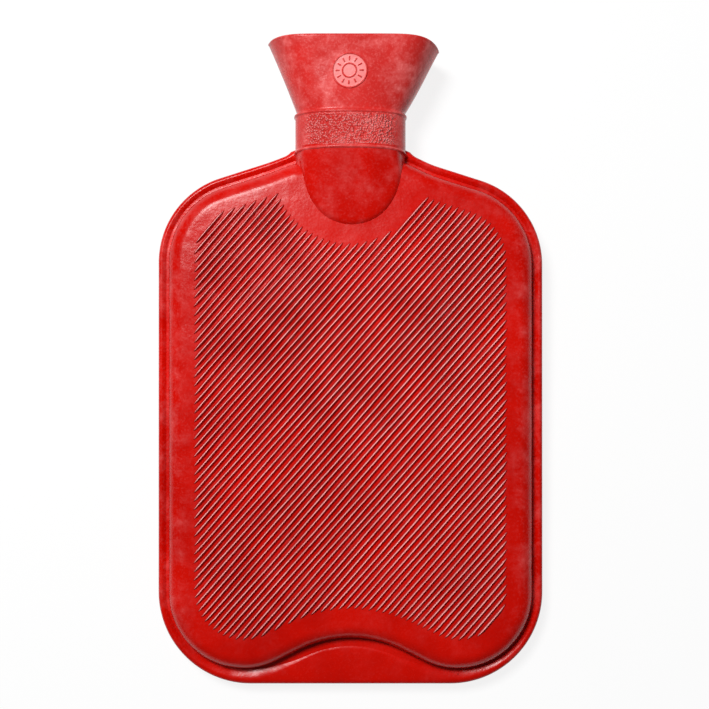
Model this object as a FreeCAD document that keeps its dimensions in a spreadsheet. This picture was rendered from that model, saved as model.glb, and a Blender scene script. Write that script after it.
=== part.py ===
"""Rubber hot water bottle lying on its back, with its neck bush, screw stopper and washer.

The bottle is drawn in its moulding position: X across, Y from the foot edge towards the mouth,
Z through the thickness, with the seam between the two halves in the plane Z = 0. At the end every
piece gets one placement that lays the bottle down on its back, touching the surface with the
lip of the funnel and with the foot of the back panel.
"""

import FreeCAD
import Part
import Sketcher
import math
import os
import re

doc = FreeCAD.newDocument("hot_water_bottle")

DIMENSIONS = [
    # Outline of the flat bag, measured over the moulded rim
    ("body_width", 200.0),
    ("shoulder_top", 276.7),
    ("shoulder_slope", 17.7),
    ("foot_corner_radius", 48.0),
    ("shoulder_corner_radius", 46.0),
    ("neck_corner_radius", 5.0),
    # Rim, groove and seam flange
    ("rim_inset", 6.0),
    ("rim_thickness", 5.2),
    ("groove_width", 3.4),
    ("flange_thickness", 3.6),
    # Raised panels, front and back alike
    ("panel_depth", 24.0),
    ("panel_edge_radius", 8.0),
    ("panel_edge_steps", 4),
    ("lobe_gap", 7.6),
    ("lobe_radius", 39.0),
    ("flank_slope", 26.0),
    ("flank_run", 13.4),
    ("rubber_wall", 2.0),
    # Neck, its grained band and the two ridges that edge the band
    ("neck_width", 57.4),
    ("neck_depth", 39.0),
    ("band_foot", 277.5),
    ("band_length", 18.0),
    ("ridge_width", 1.6),
    ("ridge_height", 0.6),
    # Rounded tongue where the thick neck dies into the panels
    ("tongue_width", 54.4),
    ("tongue_end_radius", 26.0),
    ("tongue_length", 37.0),
    ("tongue_foot_width", 61.0),
    ("tongue_foot_depth", 29.4),
    # Funnel
    ("funnel_length", 37.5),
    ("mouth_width", 87.0),
    ("mouth_depth", 45.0),
    ("flare_start_width", 2.6),
    ("funnel_waist_rise", 15.0),
    ("funnel_waist_width", 66.0),
    ("funnel_waist_depth", 40.2),
    ("lip_wall", 2.6),
    ("waist_wall", 3.4),
    ("floor_width", 38.0),
    ("floor_depth", 30.0),
    # Ribs of the front panel
    ("rib_pitch", 3.04),
    ("rib_angle", 49.0),
    ("rib_height", 0.9),
    ("rib_foot_width", 1.5),
    ("rib_crest_width", 0.5),
    ("rib_end_taper", 2.4),
    ("rib_overrun", 1.6),
    ("rib_root", 0.3),
    ("field_recess", 0.2),
    ("field_inset", 14.0),
    ("field_tongue_gap", 13.5),
    ("shortest_rib", 5.0),
    # Threaded bush moulded into the neck
    ("bush_foot", 273.5),
    ("bush_length", 20.0),
    ("bush_radius", 15.0),
    ("bush_bore_radius", 11.0),
    ("anchor_radius", 16.3),
    ("anchor_width", 4.0),
    ("seat_thickness", 2.5),
    ("seat_bore_radius", 8.0),
    # Stopper and its washer
    ("shank_clearance", 0.3),
    ("collar_radius", 13.0),
    ("collar_thickness", 2.4),
    ("collar_gap", 0.3),
    ("washer_thickness", 2.5),
    ("washer_edge_clearance", 0.6),
    ("spigot_radius", 5.0),
    ("washer_hole_clearance", 0.05),
    ("button_radius", 6.6),
    ("button_thickness", 1.6),
    ("grip_width", 28.0),
    ("grip_height", 20.0),
    ("grip_thickness", 9.0),
    ("grip_stem_width", 15.0),
    ("grip_stem_height", 5.0),
    ("grip_shoulder_rise", 3.0),
    ("grip_corner_radius", 4.0),
]

sheet = doc.addObject("Spreadsheet::Sheet", "dims")
for row, (alias, value) in enumerate(DIMENSIONS, start=1):
    sheet.set(f"A{row}", alias)
    sheet.set(f"B{row}", str(value))
    sheet.setAlias(f"B{row}", alias)
doc.recompute()


ALIASES = {alias for alias, _ in DIMENSIONS}
layout = doc.addObject("Spreadsheet::Sheet", "layout")
layout_rows = {}


def cell_for(formula):
    """Alias of the layout cell that works out a formula of the sheet's sizes."""
    if formula not in layout_rows:
        row = len(layout_rows) + 1
        words = re.sub(r"\b[a-z_]{3,}\b", prefixed, formula)
        layout.set(f"A{row}", formula)
        layout.set(f"B{row}", f"={words}")
        layout.setAlias(f"B{row}", f"worked_out_{row}")
        layout.recompute()
        layout_rows[formula] = f"worked_out_{row}"
    return layout_rows[formula]


def prefixed(match):
    """A word of a formula, pointed at the sheet of sizes when it is one of its aliases."""
    word = match.group(0)
    return f"dims.{word}" if word in ALIASES else word


def size(formula):
    """A number worked out from the sheet, such as size('body_width / 2')."""
    return float(layout.get(cell_for(formula)))


def bound(formula):
    """The expression that ties a property to that same number."""
    return f"layout.{cell_for(formula)}"


def bind(item, **formulas):
    """Ties properties of an object to the sheet."""
    for name, formula in formulas.items():
        item.setExpression(name, bound(formula))


# Planes that the sketches lie in: flat in the seam plane, or upright across the neck axis
SEAM_PLANE = FreeCAD.Placement()
ACROSS_NECK = FreeCAD.Placement(
    FreeCAD.Vector(0, 0, 0), FreeCAD.Rotation(FreeCAD.Vector(1, 0, 0), 90)
)


def limit(sketch, constraint, formula):
    """Adds a constraint with a size and ties it to the sheet."""
    number = sketch.addConstraint(constraint)
    sketch.setExpression(f"Constraints[{number}]", bound(formula))


def pin_point(sketch, geometry, position, across, along):
    """Holds a point at a distance from the sketch's origin in both directions."""
    x, y = size(across), size(along)
    limit(sketch, Sketcher.Constraint("DistanceX", -1, 1, geometry, position, x), across)
    limit(sketch, Sketcher.Constraint("DistanceY", -1, 1, geometry, position, y), along)


def draw_outline(sketch, corners):
    """Draws a closed outline from its corners, each given as (across, along, radius or None).

    Each corner is a construction point held by two distances. The sides run through the corner
    points, and a corner with a radius is rounded by an arc tangent to both of its sides.
    """
    points = [FreeCAD.Vector(size(x), size(y), 0) for x, y, _ in corners]
    count = len(points)
    starts, ends, arcs = [None] * count, [None] * count, [None] * count
    for i, (_, _, radius) in enumerate(corners):
        here = points[i]
        back = (points[i - 1] - here).normalize()
        ahead = (points[(i + 1) % count] - here).normalize()
        if radius is None:
            ends[i - 1], starts[i] = here, here
            continue
        r = size(radius)
        opening = math.acos(max(-1.0, min(1.0, back.dot(ahead))))
        reach = r / math.tan(opening / 2)
        ends[i - 1], starts[i] = here + back * reach, here + ahead * reach
        centre = here + (back + ahead).normalize() * (r / math.sin(opening / 2))
        turns_left = back.cross(ahead).z < 0
        first, last = (ends[i - 1], starts[i]) if turns_left else (starts[i], ends[i - 1])
        angles = [math.atan2(p.y - centre.y, p.x - centre.x) for p in (first, last)]
        circle = Part.Circle(centre, FreeCAD.Vector(0, 0, 1), r)
        arcs[i] = (Part.ArcOfCircle(circle, *angles), turns_left)
    lines = [sketch.addGeometry(Part.LineSegment(starts[i], ends[i])) for i in range(count)]
    for i, (across, along, radius) in enumerate(corners):
        before, after = lines[i - 1], lines[i]
        if radius is None:
            sketch.addConstraint(Sketcher.Constraint("Coincident", before, 2, after, 1))
            pin_point(sketch, after, 1, across, along)
            continue
        corner = sketch.addGeometry(Part.Point(points[i]), True)
        pin_point(sketch, corner, 1, across, along)
        for side in (before, after):
            sketch.addConstraint(Sketcher.Constraint("PointOnObject", corner, 1, side))
        shape, turns_left = arcs[i]
        arc = sketch.addGeometry(shape)
        entry, leave = (1, 2) if turns_left else (2, 1)
        sketch.addConstraint(Sketcher.Constraint("Tangent", before, 2, arc, entry))
        sketch.addConstraint(Sketcher.Constraint("Tangent", arc, leave, after, 1))
        limit(sketch, Sketcher.Constraint("Radius", arc, size(radius)), radius)


def outline_sketch(name, corners, placement=SEAM_PLANE):
    """A free sketch that holds one closed outline."""
    sketch = doc.addObject("Sketcher::SketchObject", name)
    sketch.Placement = placement
    draw_outline(sketch, corners)
    return sketch


def mirrored(half):
    """Completes an outline from its left half, listed from the foot up to the top."""
    other = [(f"-1 * ( {x} )", y, radius) for x, y, radius in reversed(half)]
    return half + other


def anticlockwise(corners):
    """The same outline listed the other way round, so that it runs anticlockwise."""
    return list(reversed(corners))


def prism(name, sketch, thickness):
    """A slab of that outline, half of its thickness on each side of the seam plane."""
    slab = doc.addObject("Part::Extrusion", name)
    slab.Base = sketch
    slab.DirMode = "Custom"
    slab.Dir = FreeCAD.Vector(0, 0, 1)
    slab.Solid = True
    slab.Symmetric = True
    bind(slab, LengthFwd=thickness)
    return slab


def edges_at_height(shape, height):
    """Numbers of the edges that lie wholly at that height above or below the seam plane."""
    tolerance = 1e-4
    return [
        number
        for number, edge in enumerate(shape.Edges, start=1)
        if all(abs(abs(vertex.Z) - height) < tolerance for vertex in edge.Vertexes)
        and abs(abs(edge.CenterOfMass.z) - height) < tolerance
    ]


def chamfered_slab(name, slab, thickness, reach):
    """Takes off the front and back edges of a slab all the way round."""
    doc.recompute()
    numbers = edges_at_height(slab.Shape, size(thickness) / 2)
    eased = doc.addObject("Part::Chamfer", name)
    eased.Base = slab
    eased.Edges = [(number, size(reach), size(reach)) for number in numbers]
    return eased


def join(name, pieces):
    """One solid from several."""
    joined = doc.addObject("Part::MultiFuse", name)
    joined.Shapes = pieces
    joined.Refine = True
    return joined


def cut(name, base, tool):
    """The first solid with the second taken away."""
    left = doc.addObject("Part::Cut", name)
    left.Base = base
    left.Tool = tool
    return left


# Outlines that follow the bag, each a distance inside its edge


def shoulder_height(across, inset):
    """Height of the shoulder line, a distance inside the bag's edge, at a half width."""
    drop = f"( {across} - neck_width / 2 ) * tan(shoulder_slope )"
    return f"shoulder_top - {drop} - ( {inset} ) / cos(shoulder_slope )"


def panel_side(grow):
    """Half width of the panel outline, grown outwards by a distance."""
    return f"body_width / 2 - rim_inset + {grow}"


def arch_radius():
    """Radius of the arch at the foot: what the flanks' straight run leaves between the lobes."""
    span = "( body_width / 2 - rim_inset - lobe_radius ) / cos(flank_slope )"
    return f"( ( {span} - flank_run ) / tan(flank_slope ) - lobe_radius )"


def panel_outline(grow):
    """The raised panel's outline with its two lobes and the arch between them at the foot."""
    side = panel_side(grow)
    lobe_centre_across = "( body_width / 2 - rim_inset - lobe_radius )"
    lobe_centre_along = "( lobe_gap + lobe_radius )"
    reach = f"( ( lobe_radius + {grow} ) / cos(flank_slope ) )"
    corner_drop = f"( lobe_radius + {grow} ) * tan(flank_slope )"
    inset = f"rim_inset - ( {grow} )"
    half = [
        (f"-1 * ( {side} )", f"{lobe_centre_along} - {reach} - {corner_drop}", f"lobe_radius + {grow}"),
        (f"-1 * ( {side} )", shoulder_height(f"( {side} )", inset), f"shoulder_corner_radius - {inset}"),
        ("-1 * neck_width / 2", shoulder_height("neck_width / 2", inset), None),
    ]
    arch = (
        "0",
        f"{lobe_centre_along} - {reach} + {lobe_centre_across} * tan(flank_slope )",
        f"{arch_radius()} - {grow}",
    )
    whole = mirrored(half)
    return anticlockwise(whole + [arch])


neck_side = "-1 * neck_width / 2"
band_top = "band_foot + band_length"
lip = f"{band_top} + funnel_length"
bag_outline = anticlockwise(
    mirrored(
        [
            ("-1 * body_width / 2", "0", "foot_corner_radius"),
            ("-1 * body_width / 2", shoulder_height("body_width / 2", "0"), "shoulder_corner_radius"),
            (neck_side, "shoulder_top", "neck_corner_radius"),
            (neck_side, band_top, None),
        ]
    )
)

bag_sketch = outline_sketch("bag_outline", bag_outline)
groove_sketch = outline_sketch("groove_outline", panel_outline("groove_width"))
cavity_sketch = outline_sketch("cavity_outline", panel_outline("( -1 * rubber_wall )"))

flange = prism("flange", bag_sketch, "flange_thickness")
rim_blank = prism("rim_blank", bag_sketch, "rim_thickness")
groove_blank = prism("groove_blank", groove_sketch, "rim_thickness + 2")
rim = cut("rim", rim_blank, groove_blank)


def panel_sections():
    """Outlines from the back face to the front face that roll the panel edges over.

    On each side the outline draws in along a quarter circle, in as many steps as the sheet asks.
    """
    steps = int(size("panel_edge_steps"))
    heights = []
    for step in range(steps, -1, -1):
        angle = f"( 90 * {step} / panel_edge_steps )"
        inset = f"panel_edge_radius * ( 1 - cos({angle}) )"
        height = f"panel_depth / 2 - panel_edge_radius * ( 1 - sin({angle}) )"
        heights.append((inset, height))
    back = [(inset, f"-1 * ( {height} )") for inset, height in heights]
    sketches = []
    for number, (inset, height) in enumerate(back + heights[::-1]):
        corners = panel_outline(f"( -1 * {inset} )")
        sketch = outline_sketch(f"panel_section_{number}", corners)
        bind(sketch, **{"Placement.Base.z": height})
        sketches.append(sketch)
    return sketches


panels = doc.addObject("Part::Loft", "panels")
panels.Sections = panel_sections()
panels.Solid = True
panels.Ruled = True
cavity_depth = "panel_depth - 2 * rubber_wall"
cavity_blank = prism("cavity_blank", cavity_sketch, cavity_depth)
cavity_edge = "( panel_edge_radius - rubber_wall ) * 0.59"
cavity = chamfered_slab("cavity", cavity_blank, cavity_depth, cavity_edge)


# Neck, band and funnel from flat-sided ovals across the neck axis


def oval_sketch(name, along, width, depth):
    """A flat-sided oval at a height along the neck axis: two half circles joined by two lines."""
    sketch = doc.addObject("Sketcher::SketchObject", name)
    sketch.Placement = ACROSS_NECK
    bind(sketch, **{"Placement.Base.y": along})
    centre, radius = size(f"( {width} ) / 2 - ( {depth} ) / 2"), size(f"( {depth} ) / 2")
    up = FreeCAD.Vector(0, 0, 1)
    right_circle = Part.Circle(FreeCAD.Vector(centre, 0, 0), up, radius)
    left_circle = Part.Circle(FreeCAD.Vector(-centre, 0, 0), up, radius)
    quarter = math.pi / 2
    right = sketch.addGeometry(Part.ArcOfCircle(right_circle, -quarter, quarter))
    left = sketch.addGeometry(Part.ArcOfCircle(left_circle, quarter, 3 * quarter))
    top_right, top_left = FreeCAD.Vector(centre, radius, 0), FreeCAD.Vector(-centre, radius, 0)
    low_left, low_right = FreeCAD.Vector(-centre, -radius, 0), FreeCAD.Vector(centre, -radius, 0)
    front = sketch.addGeometry(Part.LineSegment(top_right, top_left))
    back = sketch.addGeometry(Part.LineSegment(low_left, low_right))
    order = [right, front, left, back]
    for this, following in zip(order, order[1:] + order[:1]):
        sketch.addConstraint(Sketcher.Constraint("Tangent", this, 2, following, 1))
    sketch.addConstraint(Sketcher.Constraint("Symmetric", right, 3, left, 3, -1, 1))
    sketch.addConstraint(Sketcher.Constraint("PointOnObject", right, 3, -1))
    reach = f"( {width} ) / 2 - ( {depth} ) / 2"
    limit(sketch, Sketcher.Constraint("DistanceX", -1, 1, right, 3, centre), reach)
    limit(sketch, Sketcher.Constraint("Radius", right, radius), f"( {depth} ) / 2")
    return sketch


def loft(name, sections, ruled):
    """A solid through ovals along the neck axis."""
    body = doc.addObject("Part::Loft", name)
    body.Sections = sections
    body.Solid = True
    body.Ruled = ruled
    return body


neck_oval = ("neck_width", "neck_depth")
band_foot_oval = oval_sketch("band_foot_oval", "band_foot", *neck_oval)
band_top_oval = oval_sketch("band_top_oval", band_top, *neck_oval)
neck = loft("neck", [band_foot_oval, band_top_oval], True)

tongue_foot = ("tongue_foot_width", "tongue_foot_depth")
tongue_foot_oval = oval_sketch(
    "tongue_foot_oval", "band_foot - tongue_length", *tongue_foot
)
tongue_block = loft("tongue_block", [tongue_foot_oval, band_foot_oval], True)
tongue_sketch = outline_sketch(
    "tongue_outline",
    anticlockwise(
        mirrored(
            [
                ("-1 * tongue_width / 2", "band_foot - tongue_length", "tongue_end_radius"),
                ("-1 * tongue_width / 2", "band_foot", None),
            ]
        )
    ),
)
tongue_prism = prism("tongue_prism", tongue_sketch, "neck_depth + 10")
tongue_cut = doc.addObject("Part::Common", "tongue_cut")
tongue_cut.Base = tongue_block
tongue_cut.Tool = tongue_prism


def band_ridge(name, along):
    """A low ridge round the neck at one edge of the band."""
    wide = ("neck_width + 2 * ridge_height", "neck_depth + 2 * ridge_height")
    low = oval_sketch(f"{name}_low", along, *wide)
    high = oval_sketch(f"{name}_high", f"{along} + ridge_width", *wide)
    return loft(name, [low, high], True)


foot_ridge = band_ridge("foot_ridge", "band_foot")
top_ridge = band_ridge("top_ridge", f"{band_top} - ridge_width")

start_oval = ("neck_width - flare_start_width", "neck_depth - flare_start_width")
funnel_foot_oval = oval_sketch("funnel_foot_oval", band_top, *start_oval)
funnel_waist = f"{band_top} + funnel_waist_rise"
waist_oval = ("funnel_waist_width", "funnel_waist_depth")
funnel_waist_oval = oval_sketch("funnel_waist_oval", funnel_waist, *waist_oval)
lip_oval = oval_sketch("lip_oval", lip, "mouth_width", "mouth_depth")
funnel_outside = loft("funnel_outside", [funnel_foot_oval, funnel_waist_oval, lip_oval], True)


bush_top = "bush_foot + bush_length"
floor_oval = oval_sketch("floor_oval", bush_top, "floor_width", "floor_depth")
inside_waist = ("funnel_waist_width - 2 * waist_wall", "funnel_waist_depth - 2 * waist_wall")
inner_waist_oval = oval_sketch("inner_waist_oval", funnel_waist, *inside_waist)
inside_lip = ("mouth_width - 2 * lip_wall", "mouth_depth - 2 * lip_wall")
inner_lip_oval = oval_sketch("inner_lip_oval", lip, *inside_lip)
funnel_inside = loft("funnel_inside", [floor_oval, inner_waist_oval, inner_lip_oval], True)


# Threaded bush, drawn as the section that is turned about the neck axis

bush_outside = [
    ("anchor_radius", "bush_foot", None),
    ("anchor_radius", "bush_foot + anchor_width", None),
    ("bush_radius", "bush_foot + anchor_width", None),
    ("bush_radius", bush_top, None),
]
seat = "bush_foot + seat_thickness"
bush_inside = [
    ("bush_bore_radius", bush_top, None),
    ("bush_bore_radius", seat, None),
    ("seat_bore_radius", seat, None),
    ("seat_bore_radius", "bush_foot", None),
]


def turned_body(name, corners):
    """A body turned about the neck axis from the section on its right-hand side."""
    body = doc.addObject("PartDesign::Body", name)
    plane = next(item for item in body.Origin.OriginFeatures if item.Role == "XY_Plane")
    section = body.newObject("Sketcher::SketchObject", f"{name}_section")
    section.AttachmentSupport = [(plane, "")]
    section.MapMode = "FlatFace"
    draw_outline(section, corners)
    turn = body.newObject("PartDesign::Revolution", f"{name}_turned")
    turn.Profile = section
    turn.ReferenceAxis = (section, ["V_Axis"])
    turn.Angle = 360
    body.Tip = turn
    return body


neck_bush = turned_body("neck_bush", bush_outside + bush_inside)

socket_sketch = outline_sketch(
    "bush_socket_section", bush_outside + [("0", bush_top, None), ("0", "bush_foot", None)]
)
bush_socket = doc.addObject("Part::Revolution", "bush_socket")
bush_socket.Source = socket_sketch
bush_socket.Axis = FreeCAD.Vector(0, 1, 0)
bush_socket.Angle = 360
bush_socket.Solid = True

throat = doc.addObject("Part::Cylinder", "throat")
throat.Placement = FreeCAD.Placement(
    FreeCAD.Vector(0, 0, 0), FreeCAD.Rotation(FreeCAD.Vector(1, 0, 0), -90)
)
throat_foot = "band_foot - tongue_length"
bind(throat, Radius="seat_bore_radius", Height=f"bush_foot - ( {throat_foot} )")
bind(throat, **{"Placement.Base.y": throat_foot})


# Ribbed field of the front panel: a shallow recess that low bars cross from side to side

field_sketch = outline_sketch("field_outline", panel_outline("( -1 * field_inset )"))
field_prism = prism("field_prism", field_sketch, "panel_depth")
field_clearing = doc.addObject("Part::Cylinder", "field_clearing")
clearing_centre = "band_foot - tongue_length + tongue_width / 2"
bind(field_clearing, Radius="tongue_width / 2 + field_tongue_gap", Height="panel_depth * 2")
bind(field_clearing, **{"Placement.Base.y": clearing_centre, "Placement.Base.z": "-1 * panel_depth"})
field = cut("field", field_prism, field_clearing)
bind(field, **{"Placement.Base.z": "panel_depth - field_recess"})
recessed_panels = cut("recessed_panels", panels, field)
doc.recompute()


def rib(start, end):
    """One rib that slopes down at both ends, its root sunk into the floor of the field."""
    along = (end - start).normalize()
    start = start - along * size("rib_overrun")
    length = (end - start).Length + size("rib_overrun")
    height = size("rib_height + field_recess + rib_root")
    foot, crest, taper = size("rib_foot_width / 2"), size("rib_crest_width / 2"), size("rib_end_taper")
    bar = Part.makeWedge(0, 0, -foot, -crest, taper, length, height, foot, crest, length - taper)
    bar.rotate(FreeCAD.Vector(0, 0, 0), FreeCAD.Vector(1, 0, 0), 90)
    bar.rotate(FreeCAD.Vector(0, 0, 0), FreeCAD.Vector(0, 0, 1), size("rib_angle"))
    bar.translate(start)
    return bar


def rib_bars(zone):
    """Every rib that the field leaves room for, at the pitch on either side of the centre."""
    angle = math.radians(size("rib_angle"))
    along = FreeCAD.Vector(math.cos(angle), math.sin(angle), 0)
    across = FreeCAD.Vector(-math.sin(angle), math.cos(angle), 0)
    root_height = size("panel_depth / 2 - field_recess - rib_root")
    reach = size("body_width + shoulder_top")
    steps = int(reach / 2 / size("rib_pitch"))
    bars = []
    for step in range(-steps, steps + 1):
        middle = FreeCAD.Vector(0, size("shoulder_top / 2"), size("panel_depth")) + across * (
            step * size("rib_pitch")
        )
        line = Part.makeLine(middle - along * reach, middle + along * reach)
        for piece in line.common(zone).Edges:
            ends = sorted((v.Point for v in piece.Vertexes), key=lambda p: p.dot(along))
            if piece.Length >= size("shortest_rib"):
                for point in ends:
                    point.z = root_height
                bars.append(rib(ends[0], ends[1]))
    return bars


ribs = doc.addObject("Part::Feature", "ribs")
ribs.Shape = Part.makeCompound(rib_bars(field.Shape))

tongue = tongue_cut
neck_pieces = [neck, tongue, foot_ridge, top_ridge, funnel_outside]
outside = join("outside", [flange, rim, recessed_panels] + neck_pieces)
hollow = join("hollow", [cavity, throat, bush_socket, funnel_inside])
plain_bottle = cut("plain_bottle", outside, hollow)
bottle = join("bottle", [plain_bottle, ribs])


# Washer and stopper

shank_radius = "bush_bore_radius - shank_clearance"
shank_foot = f"{seat} + washer_thickness"
washer_edge = f"{shank_radius} - washer_edge_clearance"
washer_hole = "spigot_radius + washer_hole_clearance"
stopper_washer = turned_body(
    "stopper_washer",
    [
        (washer_edge, seat, None),
        (washer_edge, shank_foot, None),
        (washer_hole, shank_foot, None),
        (washer_hole, seat, None),
    ],
)

collar_foot = f"{bush_top} + collar_gap"
collar_top = f"{collar_foot} + collar_thickness"
stopper = turned_body(
    "stopper",
    [
        ("0", f"{seat} - button_thickness", None),
        ("button_radius", f"{seat} - button_thickness", None),
        ("button_radius", seat, None),
        ("spigot_radius", seat, None),
        ("spigot_radius", shank_foot, None),
        (shank_radius, shank_foot, None),
        (shank_radius, collar_foot, None),
        ("collar_radius", collar_foot, None),
        ("collar_radius", collar_top, None),
        ("0", collar_top, None),
    ],
)


def add_grip(body):
    """The flat wing that fingers turn."""
    plane = next(item for item in body.Origin.OriginFeatures if item.Role == "XY_Plane")
    outline = body.newObject("Sketcher::SketchObject", "grip_outline")
    outline.AttachmentSupport = [(plane, "")]
    outline.MapMode = "FlatFace"
    foot, stem_top = f"{collar_top} - 0.5", f"{collar_top} + grip_stem_height"
    half = [
        ("-1 * grip_stem_width / 2", foot, None),
        ("-1 * grip_stem_width / 2", stem_top, "grip_corner_radius / 2"),
        ("-1 * grip_width / 2", f"{stem_top} + grip_shoulder_rise", "grip_corner_radius"),
        ("-1 * grip_width / 2", f"{collar_top} + grip_height", "grip_corner_radius"),
    ]
    draw_outline(outline, anticlockwise(mirrored(half)))
    wing = body.newObject("PartDesign::Pad", "grip_wing")
    wing.Profile = outline
    wing.Midplane = True
    bind(wing, Length="grip_thickness")
    body.Tip = wing


add_grip(stopper)
doc.recompute()


# Laying the bottle down: the funnel is deeper than the panels, so the bag leans a little


def lying_placement():
    """Turns the bottle about X until lip and panel foot are level, then centres it on the origin."""
    lip_along, lip_half = size(lip), size("mouth_depth / 2")
    foot_along, foot_half = size("lobe_gap + panel_edge_radius"), size("panel_depth / 2")
    lean = math.atan2(lip_half - foot_half, lip_along - foot_along)
    rim_half = size("rim_thickness / 2")
    farthest = lip_along * math.cos(lean) + lip_half * math.sin(lean)
    nearest = -rim_half * math.sin(lean)
    lift = lip_half * math.cos(lean) - lip_along * math.sin(lean)
    turn = FreeCAD.Rotation(FreeCAD.Vector(1, 0, 0), math.degrees(lean))
    return FreeCAD.Placement(FreeCAD.Vector(0, -(farthest + nearest) / 2, lift), turn)


NODES = [bottle, neck_bush, stopper_washer, stopper]
lying = lying_placement()
for node in NODES:
    node.Placement = lying
doc.recompute()

for item in doc.Objects:
    if "Invalid" in item.State or "Error" in item.State:
        raise RuntimeError(f"{item.Label} failed: {item.State}")

os.makedirs("parts", exist_ok=True)
for node in NODES:
    node.Label = node.Name
    shape = node.Shape
    if shape.isNull() or not shape.isValid():
        raise RuntimeError(f"{node.Label} has no valid shape")
    shape.exportStep(f"parts/{node.Label}.step")
    box = shape.BoundBox
    print(node.Label, len(shape.Solids), "solid", round(shape.Volume), "mm3", [round(v, 2) for v in (
        box.XMin, box.XMax, box.YMin, box.YMax, box.ZMin, box.ZMax)])
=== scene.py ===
import bpy
import math
import numpy as np
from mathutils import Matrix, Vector


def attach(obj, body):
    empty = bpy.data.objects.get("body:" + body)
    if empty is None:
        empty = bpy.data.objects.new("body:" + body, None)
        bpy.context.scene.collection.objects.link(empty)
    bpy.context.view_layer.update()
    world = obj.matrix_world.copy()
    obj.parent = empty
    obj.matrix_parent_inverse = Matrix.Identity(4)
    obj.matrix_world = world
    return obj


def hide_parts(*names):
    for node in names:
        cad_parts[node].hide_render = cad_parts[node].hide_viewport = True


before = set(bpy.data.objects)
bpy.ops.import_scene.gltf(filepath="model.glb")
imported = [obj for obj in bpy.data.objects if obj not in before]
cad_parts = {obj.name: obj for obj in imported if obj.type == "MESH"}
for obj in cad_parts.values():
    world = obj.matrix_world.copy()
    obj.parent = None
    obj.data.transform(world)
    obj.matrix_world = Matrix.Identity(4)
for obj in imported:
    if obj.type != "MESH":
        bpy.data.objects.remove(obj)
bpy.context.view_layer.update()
print("frame loaded:", sorted(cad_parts))

# the moulding is worked out flat, in millimetres: x across, y from the foot to the mouth, z through
# the thickness from the seam; layDown leans it on its back, as the frame has it
lying = {"mouthDepth": 45.0, "panelDepth": 24.0, "lipAt": 333.0, "footAt": 15.6, "rimHalf": 2.6}
lean = math.atan2((lying["mouthDepth"] - lying["panelDepth"]) / 2, lying["lipAt"] - lying["footAt"])
farEnd = lying["lipAt"] * math.cos(lean) + lying["mouthDepth"] / 2 * math.sin(lean)
nearEnd = -lying["rimHalf"] * math.sin(lean)
lift = lying["mouthDepth"] / 2 * math.cos(lean) - lying["lipAt"] * math.sin(lean)


def layDown(x, y, z):
    # turned by the lean about x, lifted onto the surface, centred along y, millimetres to metres
    yRow = y * math.cos(lean) - z * math.sin(lean) - (farEnd + nearEnd) / 2
    zRow = y * math.sin(lean) + z * math.cos(lean) + lift
    return np.stack([x, yRow, zRow], -1) / 1000


def smooth(a, b, v):
    # 0 below a, 1 above b, 3t^2 - 2t^3 between
    u = np.clip((v - a) / (b - a), 0, 1)
    return u * u * (3 - 2 * u)


def meshObject(name, points, faces, body="bottle"):
    # a smooth-shaded mesh that moves with one body
    mesh = bpy.data.meshes.new(name)
    mesh.from_pydata(points, [], faces)
    mesh.polygons.foreach_set("use_smooth", np.ones(len(mesh.polygons), bool))
    mesh.update()
    obj = bpy.data.objects.new(name, mesh)
    bpy.context.scene.collection.objects.link(obj)
    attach(obj, body)
    return obj


def mark(obj, name, values):
    # a number at every point of the mesh, for its material to read
    layer = obj.data.attributes.new(name, "FLOAT", "POINT")
    full = np.zeros(len(obj.data.vertices), np.float32)
    full[:values.size] = values.reshape(-1)
    layer.data.foreach_set("value", full)


def gridFaces(rows, columns, closed=False):
    # quads between neighbouring rows of points; with closed the last column meets the first
    r, c = np.meshgrid(np.arange(rows - 1), np.arange(columns if closed else columns - 1), indexing="ij")
    n = (c + 1) % columns
    quads = np.stack([r * columns + c, r * columns + n, (r + 1) * columns + n, (r + 1) * columns + c], -1)
    return quads.reshape(-1, 4)


def poleFaces(pole, ring, flip):
    # triangles from a closed ring of points to one pole
    a, b = ring, np.roll(ring, -1)
    fan = np.stack([np.full(len(ring), pole), b, a] if flip else [np.full(len(ring), pole), a, b], -1)
    return fan.tolist()


# outlines of the bag: each has a fixed number of points, so outlines at any inset match point for point
bag = {
    "halfWidth": 100.0, "shoulderTop": 276.7, "slope": 17.7, "neckHalf": 28.7,
    "footRadius": 48.0, "shoulderRadius": 46.0, "rimInset": 6.0,
    "lobeGap": 9.3, "lobeRadius": 39.0, "flank": 26.0, "archRadius": 59.0,
    "leftDrop": 0.8, "rightDrop": 2.0, "dropAcross": (27, 45), "dropAlong": (150, 215),
    "flareRun": 6.0, "flareRise": 3.6, "flareCurve": 2.2, "flareAbove": 200,
    "perArc": 64, "panelSides": [118, 24, 20, 24, 118, 22, 22], "rimSides": [900, 300, 300, 300, 900, 700],
}


def shoulderAt(x, inset):
    # height of the shoulder's straight slope at x, moved inwards by the inset
    slope = math.radians(bag["slope"])
    return bag["shoulderTop"] - (x - bag["neckHalf"]) * math.tan(slope) - inset / math.cos(slope)


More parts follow.
